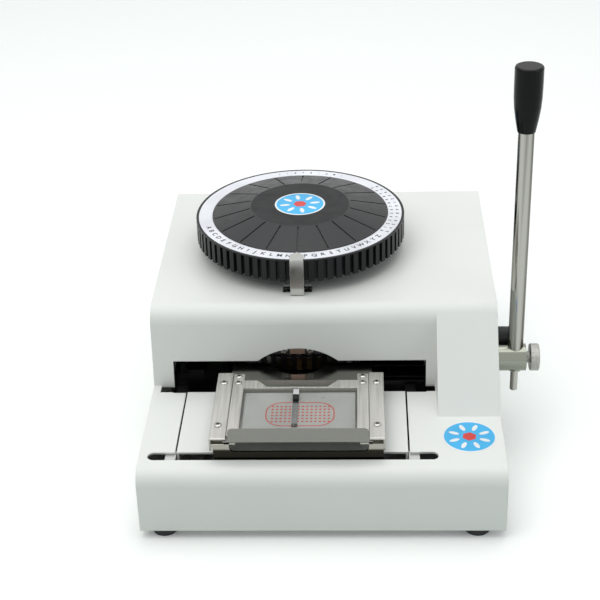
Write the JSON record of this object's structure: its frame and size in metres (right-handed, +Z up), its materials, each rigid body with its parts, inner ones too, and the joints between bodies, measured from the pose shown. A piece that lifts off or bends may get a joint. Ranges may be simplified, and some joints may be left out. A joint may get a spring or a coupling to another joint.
{
  "type": "plastic card embosser",
  "caption": "Manual plastic card embosser: toothed dial turns punch and die wheels, a side lever closes the press, and a sliding carriage holds the card.",
  "frame": {"origin": "centre of the footprint on the desk, at the underside of the feet", "axes": "+X to the operator's right, +Y from the front to the back, +Z up"},
  "size_m": [0.3013, 0.334, 0.3073],
  "materials": {
    "white_paint": "satin white powder coat",
    "plated_steel": "zinc plated sheet",
    "brushed_steel": "brushed stainless steel",
    "mirror_steel": "polished stainless steel",
    "chrome": "chromed",
    "machined_steel": "turned steel",
    "black_steel": "black oxide",
    "dial_black": "moulded black plastic",
    "ring_white": "printed white ring",
    "bronze": "sintered bronze",
    "copper": "copper leaf",
    "rubber_black": "matte rubber",
    "grip_black": "glossy black plastic",
    "card_grey": "printed grey card"
  },
  "bodies": {
    "root": {"housing_shell": "white_paint", "deck_panel": "white_paint", "base_plate": "plated_steel", "rubber_feet": "rubber_black", "foot_screws": "plated_steel", "spindle_bridge": "black_steel", "upper_bearing": "bronze", "lower_bearing": "black_steel", "front_press_plate": "black_steel", "rear_press_plate": "black_steel", "punch_guide": "black_steel", "guide_leaf": "copper", "guide_screws": "machined_steel", "arm_pivot_pins": "machined_steel", "shaft_bearing_block": "black_steel", "shaft_bushes": "bronze", "detent_post": "black_steel", "lever_stop_stud": "machined_steel", "lever_stop_sleeve": "rubber_black", "pointer_strap": "plated_steel", "pointer": "chrome", "pointer_screws": "black_steel", "front_rail": "machined_steel", "front_rail_brackets": "plated_steel", "rear_rail": "machined_steel", "rear_rail_brackets": "black_steel", "pawl_bracket": "plated_steel"},
    "dial": {"dial_wheel": "dial_black", "character_ring": "ring_white", "dial_cap": "dial_black", "dial_nut": "machined_steel", "spindle": "machined_steel", "index_wheel": "machined_steel", "die_wheel": "black_steel", "punch_wheel": "black_steel", "dies": "machined_steel", "punches": "machined_steel"},
    "upper_arm": {"upper_press_arm": "black_steel"},
    "lower_arm": {"lower_press_arm": "black_steel"},
    "detent": {"detent_arm": "plated_steel"},
    "roller": {"detent_roller": "machined_steel"},
    "lever": {"lever_shaft": "machined_steel", "press_cam": "machined_steel", "lever_rod": "chrome", "lever_grip": "grip_black"},
    "knob": {"clamp_knob": "machined_steel"},
    "carriage": {"carriage_tray": "mirror_steel", "left_guide_bar": "brushed_steel", "right_guide_bar": "brushed_steel", "guide_bar_screws": "machined_steel", "front_slider": "bronze", "rear_slider": "bronze", "feed_rack": "machined_steel"},
    "pawl": {"feed_pawl": "machined_steel"},
    "holder": {"holder_plate": "mirror_steel", "holder_frame": "brushed_steel", "holder_screws": "machined_steel", "template_card": "card_grey"},
    "clip": {"card_clip": "brushed_steel", "clip_block": "dial_black"}
  },
  "joints": [
    {"name": "dial_turn", "type": "hinge", "parent": "root", "child": "dial", "pos_m": [-0.02, 0.0664, 0.132], "axis": [0, 0, 1], "continuous": true},
    {"name": "lever_pull", "type": "hinge", "parent": "root", "child": "lever", "pos_m": [0.12, -0.0236, 0.066], "axis": [1, 0, 0], "range_deg": [0, 75], "stiffness_Nm_per_rad": 0.4, "springref_deg": -20.05},
    {"name": "clamp_knob_turn", "type": "hinge", "parent": "lever", "child": "knob", "pos_m": [0.16, -0.0236, 0.066], "axis": [1, 0, 0], "continuous": true},
    {"name": "upper_arm_press", "type": "hinge", "parent": "root", "child": "upper_arm", "pos_m": [0.042, -0.0236, 0.1047], "axis": [0, 1, 0], "range_deg": [-2.7, 0]},
    {"name": "lower_arm_press", "type": "hinge", "parent": "root", "child": "lower_arm", "pos_m": [0.042, -0.0236, 0.0467], "axis": [0, 1, 0], "range_deg": [0, 2.7]},
    {"name": "detent_swing", "type": "hinge", "parent": "root", "child": "detent", "pos_m": [-0.0713, 0.1064, 0.044], "axis": [0, 0, 1], "range_deg": [-8, 0], "stiffness_Nm_per_rad": 0.05, "springref_deg": 11.46},
    {"name": "roller_spin", "type": "hinge", "parent": "detent", "child": "roller", "pos_m": [-0.0713, 0.0664, 0.038], "axis": [0, 0, 1], "continuous": true},
    {"name": "carriage_slide", "type": "slide", "parent": "root", "child": "carriage", "axis": [1, 0, 0], "range_m": [-0.046, 0.037]},
    {"name": "holder_slide", "type": "slide", "parent": "carriage", "child": "holder", "axis": [0, 1, 0], "range_m": [0, 0.088]},
    {"name": "pawl_swing", "type": "hinge", "parent": "root", "child": "pawl", "pos_m": [-0.002, -0.0434, 0.0237], "axis": [0, 1, 0], "range_deg": [-12, 0], "stiffness_Nm_per_rad": 0.01, "springref_deg": 11.46},
    {"name": "clip_lift", "type": "hinge", "parent": "holder", "child": "clip", "pos_m": [-0.02, -0.082, 0.0737], "axis": [1, 0, 0], "range_deg": [-8, 0], "stiffness_Nm_per_rad": 0.01, "springref_deg": 11.46}
  ],
  "couplings": [
    {"joint": "upper_arm_press", "follows": "lever_pull", "ratio": -0.035},
    {"joint": "lower_arm_press", "follows": "lever_pull", "ratio": 0.035}
  ]
}
